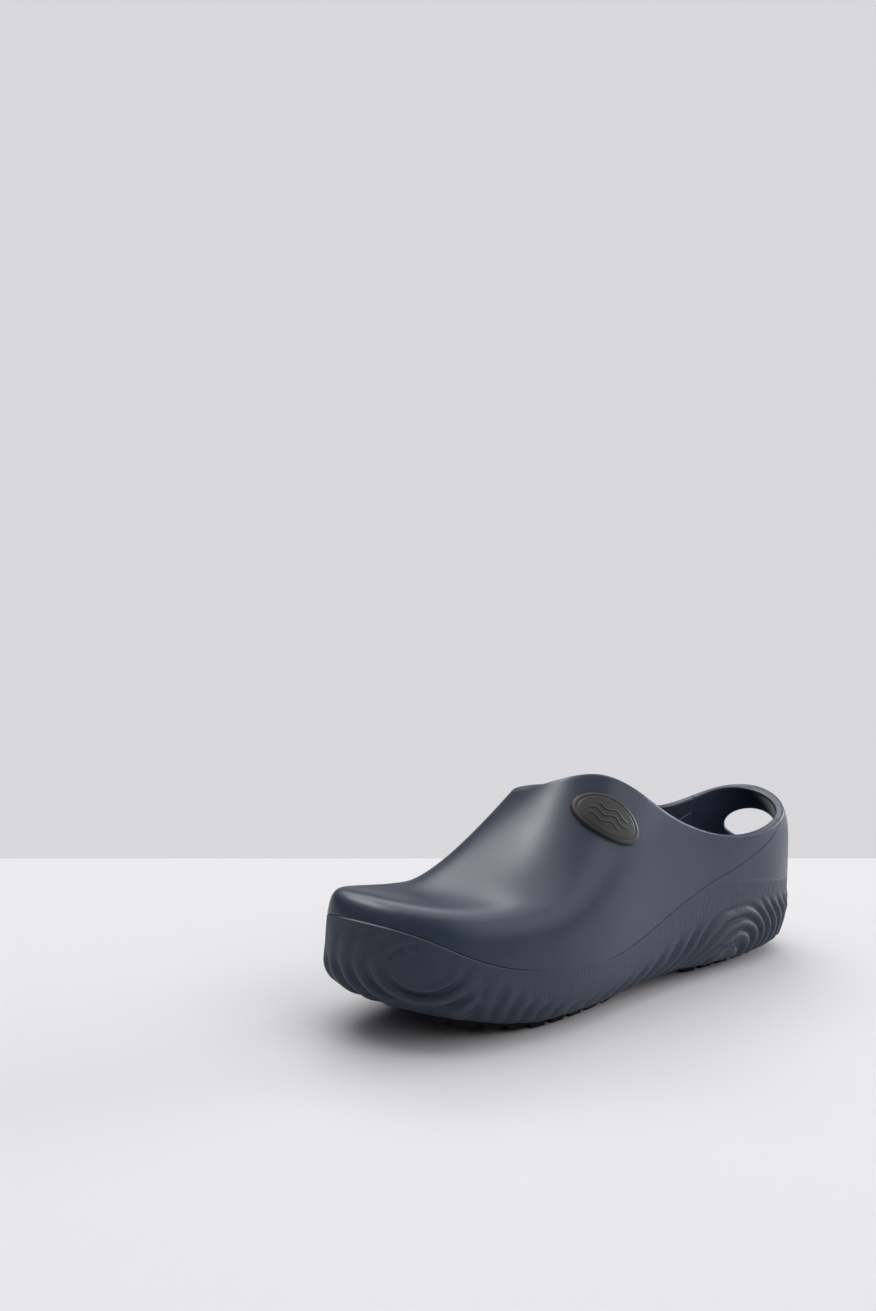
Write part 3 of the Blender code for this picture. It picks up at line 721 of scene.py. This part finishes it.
def cut_heel_hole(u, outer, faces, points, rows):
    """Opens an oval through both faces of the heel wall, with a rounded edge. Returns the new faces."""
    centre_u, centre_length, width = hole_place()
    reach_u = (HOLE_HALF_WIDTH + HOLE_MARGIN) / width
    left, right, bottom, top = hole_window(u, outer, centre_u, centre_length, reach_u)
    border = window_border(left, right, bottom, top)
    border_u = np.array([u[i] for i, _ in border])
    border_length = np.array([outer[i, RELIEF_ROWS - 1 + j] for i, j in border])
    first_smooth = EDGE_ROWS + RELIEF_ROWS - 1
    last_inner = EDGE_ROWS + outer.shape[1] + LIP_ROWS + SMOOTH_ROWS
    loops = [[i * rows + first_smooth + j for i, j in border]]
    for loop_u, loop_length, depth in hole_route(border_u, border_length, centre_u, centre_length, width):
        row_places, lengths = climb(loop_u)
        v = by_column(loop_length[:, None], lengths, row_places)[:, 0]
        loops.append(range(len(points), len(points) + len(border)))
        points.extend(under_skin(loop_u, v, np.full_like(loop_u, depth)))
    loops.append([i * rows + last_inner - j for i, j in border])
    for i in range(left, right):
        for j in range(bottom, top):
            faces.pop((i, first_smooth + j))
            faces.pop((i, last_inner - 1 - j))
    around = [(k, (k + 1) % len(border)) for k in range(len(border))]
    return [(near[k], near[m], far[m], far[k]) for near, far in zip(loops, loops[1:]) for k, m in around]


# The badge: an oval plate on the outer side of the instep, laid on a fine patch of the skin.
BADGE_PLACE = (3.22, 4.838)
BADGE_LONG_AXIS = (0.022, 0.018, -0.014)
BADGE_HALF_LENGTH = 0.0180
BADGE_HALF_WIDTH = 0.0099
BADGE_PROUD = 0.0023
BADGE_DOME = 0.0007
BADGE_SUNK = 0.0009
BADGE_BEVEL = 0.0007
BADGE_SIDES = 180
BADGE_RINGS = 50
BADGE_UNDER_SHARE = 0.5
BADGE_PATCH_U = (1.6, 4.6, 121)
BADGE_PATCH_V = (3.6, 5.0, 81)
BADGE_ABOVE = 0.03
BADGE_GROOVE = 0.86
BADGE_GROOVE_DEPTH = 0.00035
BADGE_GROOVE_WIDTH = 0.022
BADGE_WAVES = [-0.0032, 0.0, 0.0032]
BADGE_WAVE_HEIGHT = 0.00030
BADGE_WAVE_WIDTH = 0.00045
BADGE_WAVE_SWING = 0.0009
BADGE_WAVE_LENGTH = 0.0016
BADGE_FIELD_END = (0.50, 0.62)


def badge_axes():
    """The badge's middle, and its lengthwise, crosswise and outward directions."""
    u, v = np.array(BADGE_PLACE)
    out = outward(u, v)
    lengthwise = np.array(BADGE_LONG_AXIS)
    lengthwise -= out * (lengthwise @ out)
    lengthwise /= np.linalg.norm(lengthwise)
    return on_skin(u, v), lengthwise, np.cross(out, lengthwise), out


def badge_patch():
    """The skin round the badge, to lay it on."""
    u, v = np.meshgrid(np.linspace(*BADGE_PATCH_U), np.linspace(*BADGE_PATCH_V), indexing="ij")
    corners = [Vector(point) for point in on_skin(u, v).reshape(-1, 3)]
    return BVHTree.FromPolygons(corners, list(grid_faces(*u.shape).values()))


def badge_rings():
    """Share of the badge's size, and height over the skin, ring by ring."""
    inset = 1 - BADGE_BEVEL / BADGE_HALF_WIDTH
    shares = np.linspace(0.0, inset, BADGE_RINGS)[1:-1]
    top = [(share, BADGE_PROUD + BADGE_DOME * (1 - share**2)) for share in shares]
    bevel = [(inset + (1 - inset) * s, BADGE_PROUD - BADGE_BEVEL * (1 - c)) for s, c in corner(RIM_CORNER)]
    return top + bevel + [(1.0, 0.0), (1.0, -BADGE_SUNK), (BADGE_UNDER_SHARE, -BADGE_SUNK)]


def badge_field(share, a, b):
    """Height of the badge's plain pattern: a groove round its rim, and three small waves across it."""
    rim = -BADGE_GROOVE_DEPTH * bell(share - BADGE_GROOVE, BADGE_GROOVE_WIDTH)
    swing = BADGE_WAVE_SWING * np.sin(a / BADGE_WAVE_LENGTH)
    waves = sum(bell(b - across - swing, BADGE_WAVE_WIDTH) for across in BADGE_WAVES)
    return rim + BADGE_WAVE_HEIGHT * waves * (1 - ramp(*BADGE_FIELD_END, share))


def disc_faces(rings, sides):
    """Faces of a closed disc numbered as its middle, its rings from there, and its middle underneath."""
    last = 1 + (rings - 1) * sides
    faces = []
    for i in range(sides):
        k = (i + 1) % sides
        faces.append((0, 1 + i, 1 + k))
        for near in range(1, last, sides):
            far = near + sides
            faces.append((near + i, far + i, far + k, near + k))
        faces.append((last + sides, last + k, last + i))
    return faces


def badge_mesh():
    """A domed oval plate that follows the upper, with a rounded rim and a plain pattern."""
    centre, lengthwise, crosswise, out = badge_axes()
    patch = badge_patch()

    def place(a, b, level):
        start = centre + a * lengthwise + b * crosswise
        hit = patch.ray_cast(Vector(start + BADGE_ABOVE * out), Vector(-out))[0]
        return np.array(hit) + out * level

    angle = 2 * np.pi * np.arange(BADGE_SIDES) / BADGE_SIDES
    rings = badge_rings()
    points = [place(0.0, 0.0, BADGE_PROUD + BADGE_DOME)]
    for share, level in rings:
        for a, b in zip(BADGE_HALF_LENGTH * share * np.cos(angle), BADGE_HALF_WIDTH * share * np.sin(angle)):
            points.append(place(a, b, level + badge_field(share, a, b) * (level > 0)))
    points.append(place(0.0, 0.0, -BADGE_SUNK))
    return add_mesh("badge_skin", points, disc_faces(len(rings), BADGE_SIDES))


# The insole's layers: levels over the seat, clearances inside the wall, and shapes moulded into their
# tops, each with its height, middle and spread, across and then along the foot.
FOOTBED_LEVELS = (0.0005, 0.0055)
COVER_LEVELS = (0.0057, 0.0067)
FOOTBED_CLEARANCE = 0.0020
COVER_CLEARANCE = 0.0026
INSOLE_COLUMNS = 300
INSOLE_RINGS = 40
INSOLE_CORNER = 5
INSOLE_SPINE = (-0.095, 0.100)
EDGE_CUP = 0.0022
EDGE_CUP_RISING = (-0.060, 0.010)
EDGE_CUP_POWER = 5
ARCH_SUPPORT = (0.0020, (-0.026, 0.012), (0.012, 0.034))
HEEL_DISH = (-0.0010, (0.0, 0.088), (0.020, 0.026))
BALL_DISH = (-0.0005, (0.002, -0.058), (0.026, 0.024))
SEAM_INSET = 0.0035
SEAM_DEPTH = 0.0004
SEAM_WIDTH = 0.0006


def insole_outline(inset):
    """Outline of the insole at a clearance inside the wall, by column."""
    u = np.linspace(0, COLUMNS, INSOLE_COLUMNS, endpoint=False)
    return under_skin(u, seat_rows(u), WALL + inset)[:, :2]


def insole_crown(plan, share, from_edge):
    """Shape of the insole's top: cupped edges behind the ball, the moulded shapes and a pressed seam."""
    crown = EDGE_CUP * ramp(*EDGE_CUP_RISING, plan[:, 1]) * share**EDGE_CUP_POWER
    for height, middle, spread_by in (ARCH_SUPPORT, HEEL_DISH, BALL_DISH):
        crown += height * np.exp(-(((plan - middle) / spread_by) ** 2).sum(axis=1))
    return crown - SEAM_DEPTH * bell(from_edge - SEAM_INSET, SEAM_WIDTH)


def insole_rings(low, high):
    """Share of the insole's reach, level, and distance drawn back, for each ring over its edge."""
    half = 0.5 * (high - low)
    turn = corner(INSOLE_CORNER)[1:]
    shares = np.sin(np.linspace(0, np.pi / 2, INSOLE_RINGS))[1:]
    rings = [(share, high, half) for share in shares]
    rings += [(1.0, high - half * (1 - c), half * (1 - s)) for s, c in turn]
    rings += [(1.0, low + half * (1 - s), half * (1 - c)) for s, c in turn]
    return rings + [(share, low, half) for share in shares[::-1][1:]]


def insole_mesh(name, levels, inset, follow):
    """A layer over the seat with rounded edges. Its underside lies on the seat, or follows its top."""
    low, high = levels
    outline = insole_outline(inset)
    spine = np.column_stack([np.zeros(len(outline)), np.clip(outline[:, 1], *INSOLE_SPINE)])
    reach = np.linalg.norm(outline - spine, axis=1)
    direction = (outline - spine) / reach[:, None]
    sheet = []
    for share, level, back in insole_rings(low, high):
        plan = spine + direction * (share * (reach - back))[:, None]
        crown = insole_crown(plan, share, reach * (1 - share))
        lift = 1.0 if follow else (level - low) / (high - low)
        seat = along(SEAT_HEIGHT, plan[:, 1]) * (1 - lift) + smooth_curve(SEAT_HEIGHT, plan[:, 1]) * lift
        sheet.append(np.column_stack([plan, seat + level + lift * crown]))
    points = np.stack(sheet, axis=1)
    count, rows = points.shape[:2]
    faces = list(grid_faces(count, rows, wrap_columns=True).values()) + end_caps(count, rows, 0)
    return add_mesh(name, points.reshape(-1, 3), faces)


# Linear colours. A pair is the two tones a material varies between.
NAVY = (0.0265, 0.0400, 0.0720, 1)
NAVY_PALE = (0.0330, 0.0480, 0.0830, 1)
NAVY_GRAIN = (0.0300, 0.0420, 0.0700, 1)
BADGE_TONES = [(0.023, 0.024, 0.023, 1), (0.035, 0.036, 0.035, 1)]
# The treads' near-black tones are painted shade, so the underside reads as the shadow under the sole.
TREAD_SHADE_TONES = [(0.004, 0.0045, 0.006, 1), (0.008, 0.009, 0.012, 1)]
SPONGE_TONES = [(0.015, 0.015, 0.016, 1), (0.06, 0.06, 0.065, 1)]
FOAM_TONES = [(0.016, 0.017, 0.020, 1), (0.030, 0.031, 0.035, 1)]
CLOTH_TONES = [(0.008, 0.009, 0.012, 1), (0.026, 0.028, 0.036, 1)]
CLOTH_WORN = (0.040, 0.042, 0.050, 1)
FLOOR_TONES = [(0.8077, 0.79982, 0.80179, 1), (0.8323, 0.82418, 0.82621, 1)]
BACKDROP = (0.690, 0.683, 0.707, 1)
SURROUND_TONES = [(0.01, 0.01, 0.013, 1), (0.28, 0.28, 0.31, 1)]
SURROUND_RISING = (0.1, 1.0)

# Most of a noise's values lie in this span. The rubber's satin and pits scale its bump depth.
NOISE_SPAN = (0.3, 0.7)
SATIN_BUMPS = 0.35
PIT_BUMPS = 4.5
PIT_STRETCH = (1.0, 1.0, 0.3)
# The colour sockets of a Mix node, by number, because its sockets share names.
MIX_SHARE, MIX_FIRST, MIX_SECOND, MIX_RESULT = 0, 6, 7, 2


def set_input(tree, socket, value):
    """Links a node's output to a socket, or sets the socket to a plain value."""
    if isinstance(value, bpy.types.NodeSocket):
        tree.links.new(value, socket)
    else:
        socket.default_value = value


def add_node(tree, kind, settings=None, inputs=None):
    """A node with its settings and inputs."""
    node = tree.nodes.new(kind)
    for key, value in (settings or {}).items():
        setattr(node, key, value)
    for key, value in (inputs or {}).items():
        set_input(tree, node.inputs[key], value)
    return node


def node_material(name):
    """A new material, its node tree, its shader, and coordinates that stay with the piece."""
    material = bpy.data.materials.new(name)
    material.use_nodes = True
    tree = material.node_tree
    place = add_node(tree, "ShaderNodeTexCoord").outputs["Object"]
    return material, tree, tree.nodes["Principled BSDF"], place


def noise(tree, place, scale, detail, roughness=0.55):
    """Soft cloudy values."""
    return add_node(tree, "ShaderNodeTexNoise", inputs={
        "Vector": place, "Scale": scale, "Detail": detail, "Roughness": roughness,
    }).outputs["Fac"]


def cells(tree, place, scale):
    """Values that rise from the middle of each cell to its border."""
    return add_node(tree, "ShaderNodeTexVoronoi", inputs={
        "Vector": place, "Scale": scale,
    }).outputs["Distance"]


def threads(tree, place, direction):
    """Slightly wavering parallel threads."""
    return add_node(tree, "ShaderNodeTexWave", {"bands_direction": direction}, {
        "Vector": place, "Scale": 240.0, "Distortion": 0.6, "Detail": 2.0,
    }).outputs["Fac"]


def spread(tree, value, span, to_span):
    """A value's span stretched over another."""
    return add_node(tree, "ShaderNodeMapRange", inputs={
        "Value": value, "From Min": span[0], "From Max": span[1], "To Min": to_span[0], "To Max": to_span[1],
    }).outputs["Result"]


def mix_number(tree, share, first, second):
    """Number between first and second."""
    inputs = {"Factor": share, "A": first, "B": second}
    return add_node(tree, "ShaderNodeMix", {"data_type": "FLOAT"}, inputs).outputs["Result"]


def mix_colour(tree, share, first, second):
    """Colour between two colours."""
    inputs = {MIX_SHARE: share, MIX_FIRST: first, MIX_SECOND: second}
    return add_node(tree, "ShaderNodeMix", {"data_type": "RGBA"}, inputs).outputs[MIX_RESULT]


def maths(tree, operation, first, second):
    """Result of one step of arithmetic."""
    return add_node(tree, "ShaderNodeMath", {"operation": operation}, {0: first, 1: second}).outputs[0]


def set_shader(tree, shader, colour, rough, height, strength, distance):
    """Gives a shader its colour and roughness, and fine bumps of a strength and depth."""
    inputs = {"Strength": strength, "Distance": distance, "Height": height}
    bump = add_node(tree, "ShaderNodeBump", inputs=inputs)
    set_input(tree, shader.inputs["Base Color"], colour)
    set_input(tree, shader.inputs["Roughness"], rough)
    set_input(tree, shader.inputs["Normal"], bump.outputs["Normal"])


def rubber_material(name, with_grain):
    """Satin navy rubber. Where the grain attribute is 1 it is dull and finely pitted."""
    material, tree, shader, place = node_material(name)
    cloud = noise(tree, place, scale=28.0, detail=3.0)
    fine = noise(tree, place, scale=900.0, detail=3.0, roughness=0.6)
    rough = spread(tree, cloud, NOISE_SPAN, (0.34, 0.42))
    colour = mix_colour(tree, spread(tree, cloud, (0.35, 0.65), (0.0, 1.0)), NAVY, NAVY_PALE)
    height = maths(tree, "MULTIPLY", fine, SATIN_BUMPS)
    if with_grain:
        grain = add_node(tree, "ShaderNodeAttribute", {"attribute_name": "grain"}).outputs["Fac"]
        squeezed = add_node(tree, "ShaderNodeMapping", inputs={"Vector": place, "Scale": PIT_STRETCH})
        pits = noise(tree, squeezed.outputs[0], scale=950.0, detail=3.0, roughness=0.6)
        dust = noise(tree, place, scale=260.0, detail=5.0, roughness=0.7)
        rough = mix_number(tree, grain, rough, spread(tree, dust, NOISE_SPAN, (0.50, 0.60)))
        colour = mix_colour(tree, grain, colour, NAVY_GRAIN)
        height = mix_number(tree, grain, height, maths(tree, "MULTIPLY", pits, PIT_BUMPS))
    set_shader(tree, shader, colour, rough, height, strength=0.35, distance=0.0002)
    return material


def mottled_material(name, tones, roughness, cloud, fine, strength, distance, level=0.5):
    """Two tones in soft clouds, under an even fine texture. Each lists what noise takes."""
    material, tree, shader, place = node_material(name)
    patches = noise(tree, place, *cloud)
    rough = spread(tree, patches, NOISE_SPAN, roughness)
    bumps = noise(tree, place, *fine)
    set_shader(tree, shader, mix_colour(tree, patches, *tones), rough, bumps, strength, distance)
    shader.inputs["Specular IOR Level"].default_value = level
    return material


def badge_material():
    """Matt charcoal rubber with a fine even tooth."""
    return mottled_material("badge_charcoal", BADGE_TONES, roughness=(0.42, 0.55), cloud=(90.0, 4.0),
                            fine=(2400.0, 2.0), strength=0.3, distance=0.0001)


def tread_material():
    """Dull outsole rubber, a little scuffed, in near-black tones that are painted shade under the sole."""
    return mottled_material("tread_rubber", TREAD_SHADE_TONES, roughness=(0.60, 0.80), cloud=(60.0, 6.0, 0.65),
                            fine=(1300.0, 3.0), strength=0.5, distance=0.0002, level=0.2)


def floor_material():
    """Pale matt paint, faintly uneven."""
    return mottled_material("floor_paint", FLOOR_TONES, roughness=(0.50, 0.60), cloud=(3.0, 4.0),
                            fine=(500.0, 2.0), strength=0.05, distance=0.0005)


def sponge_material():
    """Dark open-celled sponge."""
    material, tree, shader, place = node_material("pad_sponge")
    holes = cells(tree, place, scale=700.0)
    rough = spread(tree, holes, (0.0, 1.0), (0.75, 0.95))
    colour = mix_colour(tree, holes, *SPONGE_TONES)
    set_shader(tree, shader, colour, rough, holes, strength=0.8, distance=0.0005)
    return material


def foam_material():
    """Charcoal foam with small closed cells."""
    material, tree, shader, place = node_material("footbed_foam")
    bubbles = cells(tree, place, scale=1400.0)
    cloud = noise(tree, place, scale=70.0, detail=3.0)
    rough = spread(tree, cloud, NOISE_SPAN, (0.78, 0.92))
    colour = mix_colour(tree, cloud, *FOAM_TONES)
    set_shader(tree, shader, colour, rough, bubbles, strength=0.5, distance=0.0002)
    return material


def cloth_material():
    """Dark close-woven lining cloth: two crossed sets of threads, with worn and fuzzy patches."""
    material, tree, shader, place = node_material("cover_cloth")
    weave = maths(tree, "MAXIMUM", threads(tree, place, "X"), threads(tree, place, "Y"))
    wear = noise(tree, place, scale=45.0, detail=4.0)
    rough = spread(tree, wear, NOISE_SPAN, (0.85, 0.95))
    colour = mix_colour(tree, weave, *CLOTH_TONES)
    colour = mix_colour(tree, spread(tree, wear, (0.45, 0.75), (0.0, 0.5)), colour, CLOTH_WORN)
    set_shader(tree, shader, colour, rough, weave, strength=0.6, distance=0.0003)
    shader.inputs["Sheen Weight"].default_value = 0.25
    return material


def backdrop_material():
    """The backdrop's even tone, the same as the surround that the camera sees."""
    material, tree, shader, _ = node_material("backdrop_paper")
    glow = add_node(tree, "ShaderNodeEmission", inputs={"Color": BACKDROP, "Strength": 1.0})
    tree.links.new(glow.outputs[0], tree.nodes["Material Output"].inputs["Surface"])
    tree.nodes.remove(shader)
    return material


def set_surface(piece, material):
    """Makes a material a piece's only one."""
    piece.data.materials.clear()
    piece.data.materials.append(material)


# The stage's two sheets lie square to the camera, at distances past the clog's middle.
STAGE_HALF_WIDTH = 6
FLOOR_SPAN = (-6.0, 0.232)
BACKDROP_SPAN = (0.232, 30.0)
FLOOR_LEVEL = -0.0001

CAMERA_PLACE = (0.6802, -0.6343, 0.3161)
CAMERA_TILT = np.radians(90 - 9.31)
CAMERA_TURN = np.radians(51.27)
CAMERA_LENS = 53.5
SENSOR_WIDTH = 36
CAMERA_REACH = 50

# Area lights: name, place, target, size and power. The reflector shows only in reflections.
REFLECTOR = "reflector_left"
LIGHTS = [
    (REFLECTOR, (-1.79, -0.97, 2.35), (0, 0, 0.05), (1.5, 0.8), 43),
    ("window_side", (2.3, 0.9, 1.85), (0, 0, 0.05), (3.2, 2.4), 33),
    ("window_back", (-2.2, 1.0, 1.85), (0, 0, 0.05), (2.0, 1.0), 14),
    ("window_right", (0.5, 3.0, 0.6), (0, 0.05, 0.05), (1.4, 0.9), 50),
    ("overhead", (-0.9, 1.0, 3.2), (0, 0, 0), (4.6, 4.6), 97),
]


def add_area_light(name, place, target, size, power):
    """A soft light that the camera doesn't see, turned to a target."""
    light = bpy.data.lights.new(name, "AREA")
    light.shape = "RECTANGLE"
    light.size, light.size_y = size
    light.energy = power
    lamp = bpy.data.objects.new(name, light)
    lamp.location = place
    lamp.visible_camera = False
    lamp.visible_diffuse = name != REFLECTOR
    lamp.rotation_euler = (Vector(target) - Vector(place)).to_track_quat("-Z", "Y").to_euler()
    bpy.context.scene.collection.objects.link(lamp)


def add_stage_sheet(name, span, surface):
    """A flat sheet of the stage, level with the floor."""
    near, far = span
    corners = [(-1, near), (1, near), (1, far), (-1, far)]
    mesh = bpy.data.meshes.new(name)
    mesh.from_pydata([(side * STAGE_HALF_WIDTH, y, FLOOR_LEVEL) for side, y in corners], [], [(0, 1, 2, 3)])
    sheet = bpy.data.objects.new(name, mesh)
    sheet.rotation_euler = (0, 0, CAMERA_TURN)
    bpy.context.scene.collection.objects.link(sheet)
    set_surface(sheet, surface)


def add_surround():
    """An even pale backdrop for the camera, and dimmer light from all round, brighter from above."""
    world = bpy.data.worlds.new("surround")
    world.use_nodes = True
    tree = world.node_tree
    seen = tree.nodes["Background"]
    seen.inputs["Color"].default_value = BACKDROP
    direction = add_node(tree, "ShaderNodeTexCoord").outputs["Generated"]
    up = add_node(tree, "ShaderNodeSeparateXYZ", inputs={"Vector": direction}).outputs["Z"]
    shade = mix_colour(tree, spread(tree, up, SURROUND_RISING, (0.0, 1.0)), *SURROUND_TONES)
    lit = add_node(tree, "ShaderNodeBackground", inputs={"Color": shade, "Strength": 1.0})
    camera_ray = add_node(tree, "ShaderNodeLightPath").outputs["Is Camera Ray"]
    inputs = {0: camera_ray, 1: lit.outputs[0], 2: seen.outputs[0]}
    mixed = add_node(tree, "ShaderNodeMixShader", inputs=inputs)
    tree.links.new(mixed.outputs[0], tree.nodes["World Output"].inputs["Surface"])
    bpy.context.scene.world = world


def add_camera():
    """The main view: low, from the outer side of the toe."""
    camera = bpy.data.cameras.new("camera")
    camera.lens = CAMERA_LENS
    camera.sensor_width = SENSOR_WIDTH
    camera.clip_end = CAMERA_REACH
    view = bpy.data.objects.new("camera", camera)
    view.location = CAMERA_PLACE
    view.rotation_euler = (CAMERA_TILT, 0, CAMERA_TURN)
    bpy.context.scene.collection.objects.link(view)
    bpy.context.scene.camera = view


upper = upper_mesh()
set_surface(upper, rubber_material("upper_rubber", False))
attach(upper, "clog")
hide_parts("upper_shell")

sole = sole_mesh()
set_surface(sole, rubber_material("sole_rubber", True))
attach(sole, "clog")
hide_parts("sole_unit")

badge = badge_mesh()
set_surface(badge, badge_material())
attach(badge, "clog")
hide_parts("badge")

footbed = insole_mesh("footbed_skin", FOOTBED_LEVELS, FOOTBED_CLEARANCE, False)
set_surface(footbed, foam_material())
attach(footbed, "insole")
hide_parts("footbed")

cover = insole_mesh("cover_cloth", COVER_LEVELS, COVER_CLEARANCE, True)
cut_outline = insole_outline(COVER_CLEARANCE)
set_surface(cover, cloth_material())
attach(cover, "insole")
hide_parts("footbed_cover")

TREAD_EDGE = 0.0005
TREAD_EDGE_STEPS = 3
TREAD_EDGE_ANGLE = np.radians(35)
for node in ("forefoot_tread", "heel_tread"):
    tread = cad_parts[node]
    set_surface(tread, tread_material())
    soften = tread.modifiers.new("worn_edges", "BEVEL")
    soften.width = TREAD_EDGE
    soften.segments = TREAD_EDGE_STEPS
    soften.limit_method = "ANGLE"
    soften.angle_limit = TREAD_EDGE_ANGLE
set_surface(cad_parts["heel_pad"], sponge_material())

add_stage_sheet("floor", FLOOR_SPAN, floor_material())
add_stage_sheet("backdrop_sheet", BACKDROP_SPAN, backdrop_material())
add_surround()
for light in LIGHTS:
    add_area_light(*light)
add_camera()
bpy.context.scene.view_settings.view_transform = "Standard"
